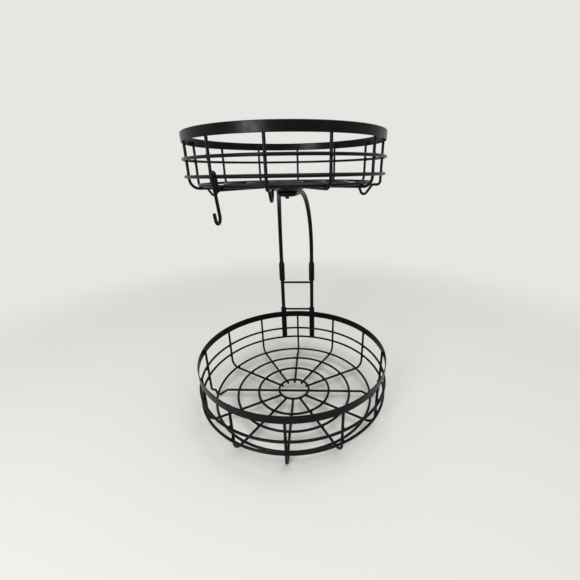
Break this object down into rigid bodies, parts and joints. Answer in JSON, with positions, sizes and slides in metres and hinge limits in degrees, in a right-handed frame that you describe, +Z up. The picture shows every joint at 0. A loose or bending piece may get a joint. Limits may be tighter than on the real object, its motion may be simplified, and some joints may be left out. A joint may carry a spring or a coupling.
{
  "type": "tiered wire basket",
  "caption": "Tiered round wire basket stand: a wide basket on bent-wire feet, posts behind it and a smaller basket on a looped arm above, with a hanging hook.",
  "frame": {"origin": "on the ground, under the middle of the lower basket", "axes": "+Z up, -Y towards the front, +X to the right; the posts stand at the back, at +Y"},
  "size_m": [0.2972, 0.3052, 0.3969],
  "materials": {
    "basket_coat": "satin",
    "frame_coat": "satin",
    "fastener_coat": "satin"
  },
  "bodies": {
    "lower_stand": {"lower_centre_ring": "basket_coat", "lower_cross_wire": "basket_coat", "lower_floor_ring_inner": "basket_coat", "lower_floor_ring_middle": "basket_coat", "lower_floor_ring_outer": "basket_coat", "lower_rim_band": "basket_coat", "lower_side_ring_lower": "basket_coat", "lower_side_ring_upper": "basket_coat", "lower_spoke_030": "basket_coat", "lower_spoke_060": "basket_coat", "lower_spoke_120": "basket_coat", "lower_spoke_150": "basket_coat", "lower_spoke_210": "basket_coat", "lower_spoke_240": "basket_coat", "lower_spoke_300": "basket_coat", "lower_spoke_330": "basket_coat", "lower_spoke_back": "basket_coat", "lower_spoke_front": "basket_coat", "left_socket": "frame_coat", "right_socket": "frame_coat", "socket_tie_bar": "frame_coat"},
    "post_ladder": {"left_post": "frame_coat", "right_post": "frame_coat", "post_rung": "frame_coat"},
    "upper_frame": {"arm_rod": "frame_coat", "left_sleeve": "frame_coat", "right_sleeve": "frame_coat", "arm_plate": "frame_coat", "clamp_bolt": "fastener_coat", "clamp_washer": "fastener_coat", "clamp_nut": "fastener_coat"},
    "upper_basket": {"upper_centre_ring": "basket_coat", "upper_floor_ring_inner": "basket_coat", "upper_floor_ring_middle": "basket_coat", "upper_floor_ring_outer": "basket_coat", "upper_rim_band": "basket_coat", "upper_side_ring_lower": "basket_coat", "upper_side_ring_upper": "basket_coat", "upper_spoke_030": "basket_coat", "upper_spoke_060": "basket_coat", "upper_spoke_120": "basket_coat", "upper_spoke_150": "basket_coat", "upper_spoke_210": "basket_coat", "upper_spoke_240": "basket_coat", "upper_spoke_300": "basket_coat", "upper_spoke_330": "basket_coat", "upper_spoke_back": "basket_coat", "upper_spoke_front": "basket_coat", "upper_spoke_left": "basket_coat", "upper_spoke_right": "basket_coat"},
    "hanging_hook": {"fruit_hook": "frame_coat"}
  },
  "joints": [
    {"name": "ladder_lift", "type": "slide", "parent": "lower_stand", "child": "post_ladder", "axis": [0, 0, 1], "range_m": [0, 0.055]},
    {"name": "frame_lift", "type": "slide", "parent": "post_ladder", "child": "upper_frame", "axis": [0, 0, 1], "range_m": [0, 0.018]},
    {"name": "basket_swivel", "type": "hinge", "parent": "upper_frame", "child": "upper_basket", "pos_m": [0, 0, 0.3399], "axis": [0, 0, 1], "range_deg": [-86, 94]},
    {"name": "hook_swing", "type": "hinge", "parent": "upper_basket", "child": "hanging_hook", "pos_m": [-0.06081, -0.10391, 0.3524], "axis": [-0.8631, 0.5051, 0], "range_deg": [-20, 60]}
  ]
}
